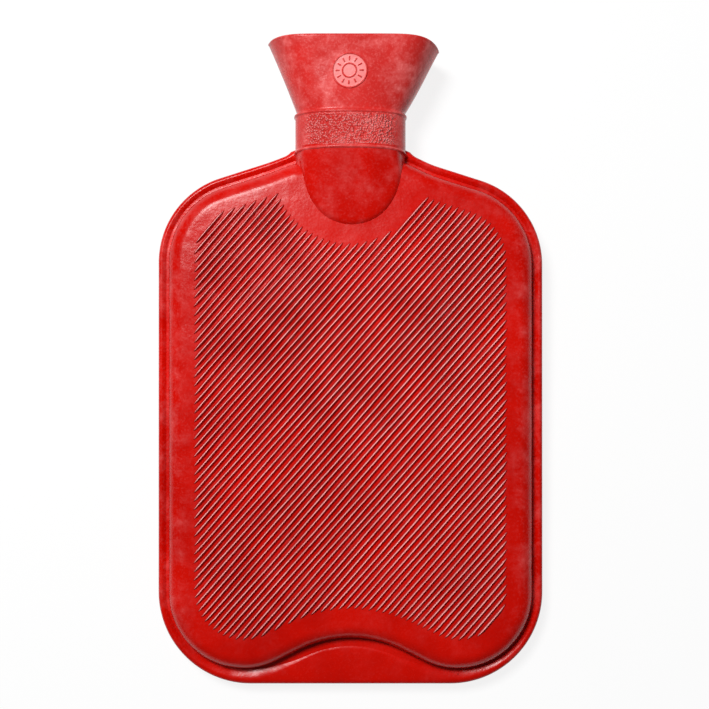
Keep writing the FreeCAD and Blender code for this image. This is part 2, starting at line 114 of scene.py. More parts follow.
def roundedOutline(corners, sideCounts):
    # lines between the corners, each corner replaced by an arc tangent to both its sides
    p = np.array([c[:2] for c in corners], float)
    back = np.roll(p, 1, 0) - p
    ahead = np.roll(p, -1, 0) - p
    back /= np.linalg.norm(back, axis=1)[:, None]
    ahead /= np.linalg.norm(ahead, axis=1)[:, None]
    half = np.arccos(np.clip((back * ahead).sum(1), -1, 1)) / 2
    radius = np.array([c[2] for c in corners], float)
    reach = radius / np.tan(half)
    enter, leave = p + back * reach[:, None], p + ahead * reach[:, None]
    middle = back + ahead
    middle /= np.linalg.norm(middle, axis=1)[:, None]
    centre = p + middle * (radius / np.sin(half))[:, None]
    pieces = []
    for i in range(len(corners)):
        if radius[i] > 0:
            u = np.linspace(0, 1, bag["perArc"])[:, None]
            a, b = enter[i] - centre[i], leave[i] - centre[i]
            swing = math.pi - 2 * half[i]
            arc = (np.sin((1 - u) * swing) * a + np.sin(u * swing) * b) / math.sin(swing)
            pieces.append(centre[i] + arc)
        else:
            pieces.append(p[i][None])
        u = np.linspace(0, 1, sideCounts[i] + 2)[1:-1, None]
        nextIn = enter[(i + 1) % len(corners)]
        pieces.append(leave[i] + (nextIn - leave[i]) * u)
    return np.concatenate(pieces)


def settled(edge):
    # the soft shoulders sit a little low, the right one more
    drop = np.where(edge[:, 0] > 0, bag["rightDrop"], bag["leftDrop"])
    drop = drop * smooth(*bag["dropAcross"], np.abs(edge[:, 0]))
    edge[:, 1] -= drop * smooth(*bag["dropAlong"], edge[:, 1])
    return edge


def panelOutline(grow):
    # the raised panel's outline grown outwards: two round lobes at the foot with an arch between them
    side = bag["halfWidth"] - bag["rimInset"] + grow
    flank = math.radians(bag["flank"])
    lobeX = bag["halfWidth"] - bag["rimInset"] - bag["lobeRadius"]
    lobeY = bag["lobeGap"] + bag["lobeRadius"]
    reach = (bag["lobeRadius"] + grow) / math.cos(flank)
    drop = (bag["lobeRadius"] + grow) * math.tan(flank)
    inset = bag["rimInset"] - grow
    top = shoulderAt(bag["neckHalf"], inset)
    corners = [
        (side, lobeY - reach - drop, bag["lobeRadius"] + grow),
        (side, shoulderAt(side, inset), bag["shoulderRadius"] - inset),
        (bag["neckHalf"], top, 0),
        (-bag["neckHalf"], top, 0),
        (-side, shoulderAt(side, inset), bag["shoulderRadius"] - inset),
        (-side, lobeY - reach - drop, bag["lobeRadius"] + grow),
        (0, lobeY - reach + lobeX * math.tan(flank), bag["archRadius"] - grow),
    ]
    return settled(roundedOutline(corners, bag["panelSides"]))


def rimOutline():
    # the straight-footed edge of the bag, with a small flare where it meets the neck
    side, neckX = bag["halfWidth"], bag["neckHalf"]
    corners = [
        (side, 0, bag["footRadius"]),
        (side, shoulderAt(side, 0), bag["shoulderRadius"]),
        (neckX, bag["shoulderTop"], 0),
        (-neckX, bag["shoulderTop"], 0),
        (-side, shoulderAt(side, 0), bag["shoulderRadius"]),
        (-side, 0, bag["footRadius"]),
    ]
    edge = settled(roundedOutline(corners, bag["rimSides"]))
    near = np.clip(1 - (np.abs(edge[:, 0]) - neckX) / bag["flareRun"], 0, 1) * (edge[:, 1] > bag["flareAbove"])
    edge[:, 1] += bag["flareRise"] * near ** bag["flareCurve"]
    return edge


def nearestOn(edge, points):
    # for each point the nearest of a closely spaced outline
    gap = ((points[:, None, :] - edge[None, :, :]) ** 2).sum(-1)
    return edge[gap.argmin(1)]


crown = {"rise": 0.7, "halfX": 90.0, "halfY": 128.0, "middleY": 140.0, "uneven": 0.16}


def frontSwell(x, y):
    # front of the panel: a crown with flat middle, and on it three slow waves, as thick rubber has
    across = np.clip(1 - (x / crown["halfX"]) ** 4, 0, 1)
    along = np.clip(1 - ((y - crown["middleY"]) / crown["halfY"]) ** 4, 0, 1)
    waves = (
        np.sin(x / 13.0 + 1.3) * np.sin(y / 17.0 + 0.4)
        + 0.7 * np.sin(x / 7.5 + y / 11.0 + 2.1)
        + 0.5 * np.sin(x / 21.0 - y / 8.5 + 0.7)
    )
    return crown["rise"] * across * along + crown["uneven"] * waves * np.sqrt(across * along)


shell = {
    "panelHalf": 12.0, "panelRound": 8.0, "rollSteps": 14, "topInsets": (9.5, 11.5), "fieldInset": 14.0,
    "rimHalf": 2.6, "rimRise": 2.3, "rimOuter": 2.6, "rimInner": 5.0, "outerShare": 0.45, "innerShare": 0.98,
    "beadTurns": (10, 22, 36, 50, 64, 78, 90), "beadTop": (0.3, 0.6),
    "beadFall": (1, 0.86, 0.7, 0.52, 0.36, 0.2, 0.08), "fallCurve": 1.35,
    "grooveHalf": 0.95, "grooveWidth": 1.9, "grooveSteps": (0, 0.12, 0.88, 1),
    "rootRound": 0.5, "rootGap": 0.3, "rootTurns": (30, 60, 90),
    "archWidth": 5.2, "archFloor": 1.35, "archSharp": 3.8, "archAcross": (22, 52), "archBelow": 60,
    "centreY": 138.0, "frontFill": 36, "backFill": 12,
    # bloom is the film on the edge rings; after it come a painted sheen towards the mouth, a painted shade at the
    # foot, and a painted sheen on the rolls of the long sides
    "bloom": 0.3, "sheenUp": 0.1, "sheenUpRun": (40, 220), "footShade": 0.4, "footRun": (24, 70),
    "sideSheen": 0.65, "sideSheenRun": (72, 88), "sideSheenAbove": (0, 40), "fade": (0.9, 0.75, 0.55, 0.35, 0.25, 0.1),
}


def bagShell():
    # rings that follow the panel outline: rim, groove, rolled wall and top, closed at a point in the middle
    edge = rimOutline()
    narrow, broad = panelOutline(shell["grooveWidth"]), panelOutline(shell["archWidth"])
    underArch = 1 - smooth(*shell["archAcross"], np.abs(narrow[:, 0]))
    underArch = underArch * (narrow[:, 1] < shell["archBelow"])
    groove = narrow + (broad - narrow) * underArch[:, None]
    low = shell["grooveHalf"] + shell["archFloor"] * underArch
    outer = nearestOn(edge, groove)
    width = np.linalg.norm(groove - outer, axis=1)[:, None]
    ringXY, ringZ = [], []

    def ring(xy, z):
        # one more closed line of points, at one height or at a height each
        ringXY.append(xy)
        ringZ.append(np.broadcast_to(np.asarray(z, float), (len(xy),)))

    # rim: a quarter round outside, a flat top, a softer fall into the groove
    outerR = np.minimum(shell["rimOuter"], shell["outerShare"] * width)
    innerR = shell["rimInner"] - shell["archSharp"] * underArch[:, None]
    innerR = np.minimum(innerR, shell["innerShare"] * width - outerR)
    base = shell["rimHalf"] - shell["rimRise"]
    ring(outer, 0.0)
    ring(outer, base)
    for turn in np.radians(shell["beadTurns"]):
        out = outerR * (1 - np.cos(turn)) / width
        ring(outer + (groove - outer) * out, base + shell["rimRise"] * np.sin(turn))
    inner, far = outer + (groove - outer) * (outerR / width), groove + (outer - groove) * (innerR / width)
    for u in shell["beadTop"]:
        ring(inner + (far - inner) * u, shell["rimHalf"])
    for u in shell["beadFall"]:
        fall = 1 - (1 - u) ** shell["fallCurve"]
        ring(groove + (outer - groove) * (innerR * u / width), low + (shell["rimHalf"] - low) * fall)

    # floor of the groove, its corner under the panel, and the panel's rolled wall and top
    corner = shell["rootRound"]
    root = panelOutline(corner + shell["rootGap"])
    for u in shell["grooveSteps"]:
        ring(groove + (root - groove) * u, low)
    for turn in map(math.radians, shell["rootTurns"]):
        ring(panelOutline(corner - corner * math.sin(turn)), low + corner * (1 - math.cos(turn)))
    wallTop = shell["panelHalf"] - shell["panelRound"]
    for step in range(shell["rollSteps"] + 1):
        turn = math.pi / 2 * step / shell["rollSteps"]
        inset = shell["panelRound"] * (1 - math.cos(turn))
        ring(panelOutline(-inset), wallTop + shell["panelRound"] * math.sin(turn))
    for inset in (*shell["topInsets"], shell["fieldInset"]):
        ring(panelOutline(-inset), shell["panelHalf"])
    field = ringXY[-1]
    centre = np.array([[0.0, shell["centreY"]]])
    edgeRings = len(ringXY)

    def stack(fill, side):
        # the edge rings and a fill of shrinking rings; only the front swells
        inward = np.linspace(0, 1, fill + 2)[1:-1]
        xy = np.array(ringXY + [field + (centre - field) * u for u in inward])
        z = np.array(ringZ + [np.full(len(field), shell["panelHalf"])] * fill)
        if side > 0:
            z = z + frontSwell(xy[..., 0], xy[..., 1]) * (z / shell["panelHalf"]) ** 3
        return xy, z * side

    frontXY, frontZ = stack(shell["frontFill"], 1)
    backXY, backZ = stack(shell["backFill"], -1)
    xy = np.concatenate([backXY[::-1], frontXY[1:]])
    z = np.concatenate([backZ[::-1], frontZ[1:]])
    x, y = xy[..., 0], xy[..., 1]
    rows, columns = z.shape
    total = rows * columns
    topZ = shell["panelHalf"] + float(frontSwell(np.array(0.0), np.array(shell["centreY"])))
    poles = layDown(np.zeros(2), np.full(2, shell["centreY"]), np.array([-shell["panelHalf"], topZ]))
    faces = gridFaces(rows, columns, closed=True).tolist()
    faces += poleFaces(total, np.arange(columns), True)
    faces += poleFaces(total + 1, np.arange(total - columns, total), False)
    points = np.concatenate([layDown(x, y, z).reshape(-1, 3), poles])
    obj = meshObject("bagShell", points.tolist(), faces)

    # pale bloom for the material on the edge rings, fading out before the ribs; with it a painted sheen, stronger
    # towards the mouth and on the rolls of the long sides, and a painted shade that clears it at the foot
    edgeBloomAndSheen = np.concatenate([np.zeros(shell["backFill"]), np.ones(2 * edgeRings - 1), np.zeros(shell["frontFill"])])
    fadeFrom = shell["backFill"] + 2 * edgeRings - len(shell["fade"])
    edgeBloomAndSheen[fadeFrom:fadeFrom + len(shell["fade"])] = shell["fade"]
    bloomAndSheen = shell["bloom"] + shell["sheenUp"] * smooth(*shell["sheenUpRun"], y)
    bloomAndSheen -= shell["footShade"] * (1 - smooth(*shell["footRun"], y))
    bloomAndSheen += shell["sideSheen"] * smooth(*shell["sideSheenRun"], np.abs(x)) * smooth(*shell["sideSheenAbove"], y)
    mark(obj, "edgeBloomAndSheen", edgeBloomAndSheen[:, None] * bloomAndSheen)
    print("bag shell:", edgeRings, "edge rings,", len(faces), "faces")
    return obj


# three lists describe one rib's section: place across it, height, and paleness of rubbed crests with a painted
# highlight, leaning onto the flank that faces the key light
ribs = {
    "pitch": 2.965, "angle": 48.9, "middleY": 138.35, "inset": 14.0, "footRise": 2.2, "shoulderRise": 1.5,
    "footRun": (50, 120), "shoulderRun": (170, 240), "lines": 60, "below": 262, "shortest": 12.0,
    "discY": 267.8, "discRadius": 27.2, "tongueGap": 12.1,
    "taper": 4.5, "taperCurve": 0.6, "endWidth": 0.25, "stations": 54, "height": 1.75, "sink": 0.05,
    "across": [-1.66, -1.42, -1.18, -0.94, -0.72, -0.52, -0.36, -0.22, -0.11, 0.0, 0.12, 0.24, 0.42, 0.7, 1.15],
    "profile": [-0.05, 0.02, 0.08, 0.18, 0.31, 0.47, 0.66, 0.86, 1.0, 0.99, 0.974, 0.87, 0.52, 0.14, -0.05],
    "wearAndHighlight": [0.0, 0.0, 0.0, 0.0, 0.0, 0.0, 0.0, 0.0, 0.8, 1.0, 1.0, 0.75, 0.12, 0.0, 0.0],
}
ribTurn = math.radians(ribs["angle"])
ribAlong = np.array([math.cos(ribTurn), math.sin(ribTurn)])
ribAcross = np.array([-math.sin(ribTurn), math.cos(ribTurn)])
ribMiddle = np.array([0.0, ribs["middleY"]])


def ribLines():
    # start, end and number of every rib: parallel lines cut by the field's outline and by a disc
    # round the tongue, without the short pieces
    edge = panelOutline(-ribs["inset"])
    edge[:, 1] += ribs["footRise"] * (1 - smooth(*ribs["footRun"], edge[:, 1]))
    edge[:, 1] += ribs["shoulderRise"] * smooth(*ribs["shoulderRun"], edge[:, 1])
    nextEdge = np.roll(edge, -1, 0)
    disc = np.array([0.0, ribs["discY"]])
    discRadius = ribs["discRadius"] + ribs["tongueGap"]
    found = []
    for k in range(-ribs["lines"], ribs["lines"] + 1):
        sideA = (edge - ribMiddle) @ ribAcross - k * ribs["pitch"]
        sideB = (nextEdge - ribMiddle) @ ribAcross - k * ribs["pitch"]
        hit = np.nonzero(sideA * sideB < 0)[0]
        where = edge[hit] + (nextEdge[hit] - edge[hit]) * (sideA[hit] / (sideA[hit] - sideB[hit]))[:, None]
        reach = np.sort((where - ribMiddle) @ ribAlong)
        aside = (disc - ribMiddle) @ ribAcross - k * ribs["pitch"]
        if abs(aside) < discRadius:
            span = math.sqrt(discRadius**2 - aside**2)
            mid = (disc - ribMiddle) @ ribAlong
            inside = (reach > mid - span) & (reach < mid + span)
            reach = np.sort(np.concatenate([reach[~inside], [mid - span, mid + span]]))
        for a, b in zip(reach[0::2], reach[1::2]):
            centre = ribMiddle + ribAlong * (a + b) / 2 + ribAcross * k * ribs["pitch"]
            clear = centre[1] < ribs["below"] and np.linalg.norm(centre - disc) > discRadius
            if b - a > ribs["shortest"] and clear:
                found.append((a, b, k))
    return np.array(found).T[..., None]


def ribField():
    # every rib is its section carried along one diagonal of the field; both of its ends thin out to a point
    first, last, number = ribLines()
    line = number * ribs["pitch"]
    length = last - first
    u = np.linspace(0, 1, ribs["stations"])[None, :]
    u = 0.5 - 0.5 * np.cos(math.pi * u) * (0.75 + 0.25 * np.cos(math.pi * u) ** 2)  # closer near the ends
    reach = first + length * u
    wobble = 0.14 * np.sin(reach / 19 + line * 0.21) + 0.09 * np.sin(reach / 8.3 + line * 0.6)
    nearEnds = np.minimum(reach - first, first + length - reach)
    slim = (np.clip(nearEnds / ribs["taper"], 0, 1) ** ribs["taperCurve"])[..., None]
    spread = ribs["endWidth"] + (1 - ribs["endWidth"]) * slim
    offset = (line + wobble)[..., None] + np.array(ribs["across"]) * spread
    x = ribMiddle[0] + reach[..., None] * ribAlong[0] + offset * ribAcross[0]
    y = ribMiddle[1] + reach[..., None] * ribAlong[1] + offset * ribAcross[1]
    tall = ribs["height"] * (1 + 0.06 * np.sin(reach / 14 + line * 1.7))[..., None]
    z = shell["panelHalf"] + frontSwell(x, y) - ribs["sink"] + tall * np.array(ribs["profile"]) * slim
    count, stations, columns = x.shape
    single = gridFaces(stations, columns)
    faces = (single[None] + (np.arange(count) * stations * columns)[:, None, None]).reshape(-1, 4)
    obj = meshObject("ribField", layDown(x, y, z).reshape(-1, 3).tolist(), faces[:, ::-1].tolist())
    # pale crests: rubbed rubber, and a painted highlight on the lit flank
    mark(obj, "wearAndHighlight", np.array(ribs["wearAndHighlight"]) * smooth(0.1, 0.8, slim))
    print("rib field:", count, "ribs,", len(faces), "faces")
    return obj


tongue = {
    "half": 26.8, "length": 30.6, "discY": 267.4, "topY": 278.2, "shift": 0.9, "shiftRun": (262, 274),
    "footDepth": 13.3, "neckDepth": 19.5, "footY": 236.8, "bandFoot": 277.5, "depthCurve": 0.9,
    "wide": 31.2, "drawIn": 2.3, "drawRun": (264, 278), "roundness": 2.6,
    "edge": 3.6, "edgeTurns": (20, 40, 60, 75, 90), "skirt": 4.0,
    "columns": 200, "straight": 14, "fill": 17,
}


def tubeHalf(y):
    # half depth of the neck's tube, growing from the foot of the tongue to the band
    u = np.clip((y - tongue["footY"]) / (tongue["bandFoot"] - tongue["footY"]), 0, 1)
    return tongue["footDepth"] + (tongue["neckDepth"] - tongue["footDepth"]) * u ** tongue["depthCurve"]


def tongueCrown(x, y):
    # oval across the neck: |x/a|^n + |z/depth|^n = 1, a little narrower towards the band
    a = tongue["wide"] - tongue["drawIn"] * smooth(*tongue["drawRun"], y)
    n = tongue["roundness"]
    return tubeHalf(y) * np.clip(1 - np.abs(x / a) ** n, 0, 1) ** (1 / n)


def tonguePatch(name, side):
    # a U-shaped edge with a rounded shoulder, drawn in towards the middle line of the neck
    few = tongue["straight"]
    run = np.concatenate([
        np.linspace(-1, 0, few)[:-1],
        np.linspace(0, 1, tongue["columns"] - 2 * few + 1),
        np.linspace(1, 2, few + 1)[1:],
    ])
    angle = math.pi + math.pi * np.clip(run, 0, 1)
    edgeX = tongue["half"] * np.cos(angle)
    edgeY = tongue["discY"] + tongue["length"] * np.sin(angle)
    edgeY = edgeY + (tongue["topY"] - tongue["discY"]) * (np.clip(-run, 0, 1) + np.clip(run - 1, 0, 1))
    spineX, spineY = np.zeros_like(edgeX), np.maximum(edgeY, tongue["discY"])
    reach = np.hypot(edgeX - spineX, edgeY - spineY)
    rows = []

    def row(x, y, drop=0.0):
        rows.append((x, y, tongueCrown(x, y) - drop))

    e = tongue["edge"]
    row(edgeX, edgeY, tongue["skirt"])
    row(edgeX, edgeY, e)
    for turn in map(math.radians, tongue["edgeTurns"]):
        inward = e * (1 - math.cos(turn))
        row(edgeX + (spineX - edgeX) * inward / reach, edgeY + (spineY - edgeY) * inward / reach,
            e * (1 - math.sin(turn)))
    startX, startY = rows[-1][:2]
    for u in np.linspace(0, 1, tongue["fill"])[1:]:
        row(startX + (spineX - startX) * u, startY + (spineY - startY) * u)
    x, y, z = (np.array(column) for column in zip(*rows))
    x = x + tongue["shift"] * (1 - smooth(*tongue["shiftRun"], y))
    faces = gridFaces(*x.shape)
    if side < 0:
        faces = faces[:, ::-1]
    return meshObject(name, layDown(x, y, z * side).reshape(-1, 3).tolist(), faces.tolist())


neck = {
    "start": 254.0, "startEnd": 277.3, "startIn": 0.25, "startLow": 0.35,
    "half": 28.7, "depth": 19.5, "round": 2.55, "quarter": 80,
    "bandFoot": 277.5, "bandTop": 295.5, "ridge": 0.65, "ridgeWide": 1.7, "ridgeCurve": 0.8,
    "ridgeSteps": (0, 0.15, 0.32, 0.5, 0.68, 0.85, 1),
    "bandLow": 1.6, "leftSag": 1.5, "rightSag": 2.6, "sagFrom": (262, 272), "sagTo": (281, 290),
    "grainFoot": (1.4, 2.6), "grainTop": (2.5, 1.4), "grainAcross": (18, 26),
    "lip": 333.0, "lipRound": 1.3, "lipTurns": (25, 50, 75, 90, 105, 130, 155, 180),
    "waistHalf": 27.4, "waistDepth": 18.2, "mouthHalf": 44.2, "mouthDepth": 22.4, "sweep": 0.14,
    "mouthFlat": 6.6, "flatCurve": 1.4, "mouthTip": 1.36, "tipCurve": 0.8, "mouthShift": 1.1,
    "leftDip": -0.6, "rightDip": 3.6, "rightFull": 1.9, "rightReach": 1.0, "rightRun": 25,
    "fold": 0.3, "foldTurn": 0.6,
    "wall": 2.6, "rootWall": 5.4, "thinnest": 3.0, "floor": 293.5, "floorCorner": 1.5,
    "socket": 15.05, "socketFoot": 273.4, "throat": 8.0, "throatFoot": 246.0,
}


def funnelRise(y):
    # 0 at the band's top, 1 at the lip
    return np.clip((y - neck["bandTop"]) / (neck["lip"] - neck["bandTop"]), 0, 1)


def mouthLean(x, y, flatness):
    # the funnel is a little lopsided: it shifts to the right, bulges there, and its lip dips at both ends
    rise = funnelRise(y)
    dip = np.where(x > 0, neck["rightDip"], neck["leftDip"]) * (1 - flatness)
    full = neck["rightFull"] * np.sin(math.pi * rise**0.8) + neck["rightReach"] * rise
    right = np.clip(x / neck["rightRun"], 0, 1)
    return x + neck["mouthShift"] * rise**1.5 + full * right, y - dip * rise**2.2


def funnelSwell(x, y):
    # soft slanting folds in the front and back of the funnel, none at the band and the lip
    folds = np.sin(x / 5.2 + y / 10.0 + neck["foldTurn"]) + 0.6 * np.sin(x / 8.5 - y / 7.0 + 2.0)
    return neck["fold"] * np.sin(math.pi * funnelRise(y)) * folds


def bandBow(x, y, flatness):
    # the lower ridge of the band hangs down towards both sides
    near = smooth(*neck["sagFrom"], y) * (1 - smooth(*neck["sagTo"], y))
    sag = np.where(x > 0, neck["rightSag"], neck["leftSag"]) * (1 - flatness) + neck["bandLow"]
    return y - sag * near


def ovalRow(y, a, b, p, q):
    # |x/a|^p + |z/b|^q = 1, a quarter at a time, its points evenly spaced along the curve
    fine = np.linspace(0, math.pi / 2, 700)
    u, v = np.cos(fine) ** (2 / p), np.sin(fine) ** (2 / q)
    u[-1], v[0] = 0, 0
    run = np.concatenate([[0], np.cumsum(np.hypot(np.diff(u) * a, np.diff(v) * b))])
    even = np.linspace(0, run[-1], neck["quarter"] + 1)
    u, v = np.interp(even, run, u), np.interp(even, run, v)
    across = np.concatenate([u[:-1], -u[:0:-1], -u[:-1], u[:0:-1]])
    through = np.concatenate([v[:-1], v[:0:-1], -v[:-1], -v[:0:-1]])
    x, leanedY = mouthLean(across * a, y, np.abs(through))
    return x, bandBow(x, leanedY, np.abs(through)), through * (b + funnelSwell(x, y))


def flare(y, inside=False):
    # half width, half depth and the two roundnesses of the funnel at a height; inside less the wall
    u = funnelRise(y)
    sweep = (1 - neck["sweep"]) * u + neck["sweep"] * u**2
    a = neck["waistHalf"] + (neck["mouthHalf"] - neck["waistHalf"]) * sweep
    b = neck["waistDepth"] + (neck["mouthDepth"] - neck["waistDepth"]) * u
    p = neck["round"] + (neck["mouthFlat"] - neck["round"]) * u ** neck["flatCurve"]
    q = neck["round"] + (neck["mouthTip"] - neck["round"]) * u ** neck["tipCurve"]
    if inside:
        thick = neck["wall"] + neck["rootWall"] * (1 - u) ** 2
        return a - thick, b - np.minimum(thick, neck["thinnest"]), p, q
    return a, b, p, q


def neckTube():
    # ovals from inside the bag up to the lip, over it, and down the inside of the funnel to the throat
    rows, grained = [], []

    def row(y, a, b, p, q=None, grain=0.0):
        rows.append(ovalRow(y, a, b, p, q or p))
        grained.append(grain)

    for y in np.linspace(neck["start"], neck["startEnd"], 10):
        row(y, neck["half"] - neck["startIn"], tubeHalf(y) - neck["startLow"], neck["round"])
    foot, top, wide = neck["bandFoot"], neck["bandTop"], neck["ridgeWide"]
    steps = np.array(neck["ridgeSteps"])
    for y in np.concatenate([
        foot + wide * steps, np.linspace(foot + wide, top - wide, 20)[1:-1], top - wide * steps[::-1],
    ]):
        near = min(y - foot, top - y)
        bead = 0.0
        if near < wide:
            bead = neck["ridge"] * math.sin(math.pi * np.clip(near / wide, 0, 1)) ** neck["ridgeCurve"]
        inBand = smooth(foot + neck["grainFoot"][0], foot + neck["grainFoot"][1], y)
        inBand *= 1 - smooth(top - neck["grainTop"][0], top - neck["grainTop"][1], y)
        row(y, neck["half"] + bead, neck["depth"] + bead, neck["round"])
        grained[-1] = inBand * (1 - smooth(*neck["grainAcross"], np.abs(rows[-1][0])))
    for y in np.linspace(top + 0.25, neck["lip"] - neck["lipRound"], 34):
        row(y, *flare(y))
    a, b, p, q = flare(neck["lip"])
    r = neck["lipRound"]
    for turn in np.radians(neck["lipTurns"]):
        draw = r * (1 - math.cos(turn))
        row(neck["lip"] - r + r * math.sin(turn), a - draw, b - draw, p, q)

    # inside: down to the rounded corner of the funnel's floor, then socket and throat
    floor = neck["floor"]
    for y in np.linspace(neck["lip"] - r, floor + neck["floorCorner"], 30)[1:]:
        row(y, *flare(y, inside=True))
    a, b, p, q = flare(floor + neck["floorCorner"], inside=True)
    row(floor + 0.4, a - 0.5, b - 0.5, p, q)
    row(floor, a - 1.6, b - 1.6, 2.3)
    row(floor, neck["socket"], neck["socket"], 2)
    row(neck["socketFoot"], neck["socket"], neck["socket"], 2)
    row(neck["socketFoot"], neck["throat"], neck["throat"], 2)
    row(neck["throatFoot"], neck["throat"], neck["throat"], 2)
    x, y, z = (np.array(column) for column in zip(*rows))
    ends = layDown(np.zeros(2), np.array([neck["start"], neck["throatFoot"]]), np.zeros(2))
    count, around = x.shape
    total = count * around
    faces = gridFaces(count, around, closed=True)[:, ::-1].tolist()
    faces += poleFaces(total, np.arange(around), False)
    faces += poleFaces(total + 1, np.arange(total - around, total), True)
    points = np.concatenate([layDown(x, y, z).reshape(-1, 3), ends])
    obj = meshObject("neckFunnel", points.tolist(), faces)
    mark(obj, "grained", np.stack([np.broadcast_to(g, (around,)) for g in grained]))
    print("neck and funnel:", count, "rows,", len(faces), "faces")
    return obj


dial = {
    "x": -1.0, "y": 314.6, "radius": 8.4, "edge": 0.5, "relief": 0.45, "ringHalf": 0.45, "hub": 3.4, "hubHalf": 0.4,
    "ticks": 12, "tickWidth": (0.72, 0.95), "tickFrom": (4.6, 5.0), "tickTo": (6.6, 7.0),
    "proud": 0.05, "sink": 0.3, "sinkRun": (8.75, 8.9), "plate": 0.55, "plateRun": (8.3, 8.7),
    "rings": 60, "around": 240,
}


def mouldedDial():
    # a round moulded mark that hugs the front of the funnel: two rings and short ticks between them
    r = np.linspace(0.02, dial["radius"] + dial["edge"], dial["rings"])[:, None]
    turn = np.linspace(0, 2 * math.pi, dial["around"], endpoint=False)[None, :]
    x, y = dial["x"] + r * np.cos(turn), dial["y"] + r * np.sin(turn)

    def bead(at, half):
        # round-topped ring
        return np.clip(1 - ((r - at) / half) ** 2, 0, 1) ** 0.7

    tick = smooth(*dial["tickWidth"], np.cos(dial["ticks"] * turn))
    tick = tick * smooth(*dial["tickFrom"], r) * (1 - smooth(*dial["tickTo"], r))
    rings = np.maximum(bead(dial["radius"], dial["ringHalf"]), bead(dial["hub"], dial["hubHalf"]))
    relief = dial["relief"] * np.maximum(rings, tick)
    a, b, p, q = flare(y)
    flatness = np.clip(1 - np.abs(x / a) ** p, 0, 1) ** (1 / q)
    leanedX, leanedY = mouthLean(x, y, flatness)
    z = (b + funnelSwell(leanedX, y)) * flatness + dial["proud"] - dial["sink"] * smooth(*dial["sinkRun"], r) + relief
    faces = gridFaces(*x.shape, closed=True).tolist()
    faces += poleFaces(x.size, np.arange(x.shape[1]), True)
    middle = layDown(leanedX[0].mean(), leanedY[0].mean(), z[0].mean())[None]
    points = np.concatenate([layDown(leanedX, leanedY, z).reshape(-1, 3), middle])
    obj = meshObject("mouldedDial", points.tolist(), [face[::-1] for face in faces])
    mark(obj, "wearAndHighlight", dial["plate"] * (1 - smooth(0.02, 0.2, relief)) * (1 - smooth(*dial["plateRun"], r)))
    return obj


screw = {
    "pitch": 4.0, "threadEnd": 1.6, "columns": 144,
    "bushFoot": 273.5, "bushTop": 293.5, "bushRadius": 15.0, "bore": 11.0, "threadCut": 0.9, "chamfer": 0.8,
    "seatBore": 8.0, "seat": 276.0, "flangeRadius": 16.3, "flangeTop": 277.5,
    "shank": 10.7, "threadRise": 1.0, "shankFoot": 278.5, "collarFoot": 293.8, "collarTop": 296.2, "collar": 13.0,
    "grips": 36, "gripDepth": 0.18,
}


def turned(name, profile, body, groove):
    # a section of radius against height turned about the neck axis; groove(radius, height, turn) cuts a thread
    turn = np.linspace(0, 2 * math.pi, screw["columns"], endpoint=False)[None, :]
    radius = np.array([p[0] for p in profile])[:, None] + 0 * turn
    height = np.array([p[1] for p in profile])[:, None] + 0 * turn
    radius = radius + groove(radius, height, turn)
    x, z = radius * np.cos(turn), radius * np.sin(turn)
    faces = gridFaces(*x.shape, closed=True)[:, ::-1].tolist()
    return meshObject(name, layDown(x, height, z).reshape(-1, 3).tolist(), faces, body)


def threadWave(height, turn, start, end, phase=0.0):
    # flat-topped wave that climbs one pitch a turn and fades out at both ends
    wave = np.cos(2 * math.pi * height / screw["pitch"] - turn + phase)
    fade = screw["threadEnd"]
    return smooth(-0.35, 0.35, wave) * smooth(start, start + fade, height) * (1 - smooth(end - fade, end, height))


def neckBush():
    # threaded brass ring: flange at the foot, chamfered mouth, bore, seat for the washer
    foot, top, seat = screw["bushFoot"], screw["bushTop"], screw["seat"]
    bore, wall, flange = screw["bore"], screw["bushRadius"], screw["flangeRadius"]
    inner = [(bore, h) for h in np.linspace(top - screw["chamfer"], seat, 90)]
    profile = (
        [(screw["seatBore"], foot), (flange, foot), (flange, screw["flangeTop"]), (wall, screw["flangeTop"]),
         (wall, top - 0.2), (wall - 0.2, top), (bore + screw["chamfer"], top)]
        + inner
        + [(screw["seatBore"] + 0.3, seat), (screw["seatBore"], seat - 0.3), (screw["seatBore"], foot)]
    )

    def thread(radius, height, turn):
        # cut into the bore only, away from its mouth and the seat
        inBore = (np.abs(radius - bore) < 0.01) * (height > seat + 0.6) * (height < top - 0.7)
        return screw["threadCut"] * inBore * (1 - threadWave(height, turn, seat + 1.0, top, math.pi))

    return turned("neckBush", profile, "bottle", thread)


def stopperScrew():
    # plug, from the foot up: button and spigot through the washer, threaded shank, gripped collar
    foot, collarFoot, c, top = screw["shankFoot"], screw["collarFoot"], screw["collar"], screw["collarTop"]
    root = screw["shank"] - screw["threadRise"]
    shank = [(root, h) for h in np.linspace(foot + 0.7, collarFoot - 0.2, 110)]
    profile = (
        [(0.01, 274.4), (6.0, 274.4), (6.5, 274.8), (6.6, 275.4), (6.5, 275.95), (5.0, 276.0), (5.0, foot),
         (9.0, foot), (9.6, foot + 0.3)]
        + shank
        + [(root, collarFoot), (c - 0.5, collarFoot), (c, collarFoot + 0.5), (c, top - 0.8),
           (c - 0.25, top - 0.25), (c - 0.8, top), (9.5, top), (7.0, top + 0.5), (0.01, top + 0.6)]
    )

    def raised(radius, height, turn):
        # thread on the shank, small waves round the collar
        onShank = (np.abs(radius - root) < 0.01) * threadWave(height, turn, foot + 0.6, collarFoot - 1.0)
        gripped = (np.abs(radius - c) < 0.02) * screw["gripDepth"] * (np.cos(screw["grips"] * turn) - 1)
        return screw["threadRise"] * onShank + gripped

    return turned("stopperScrew", profile, "stopper", raised)


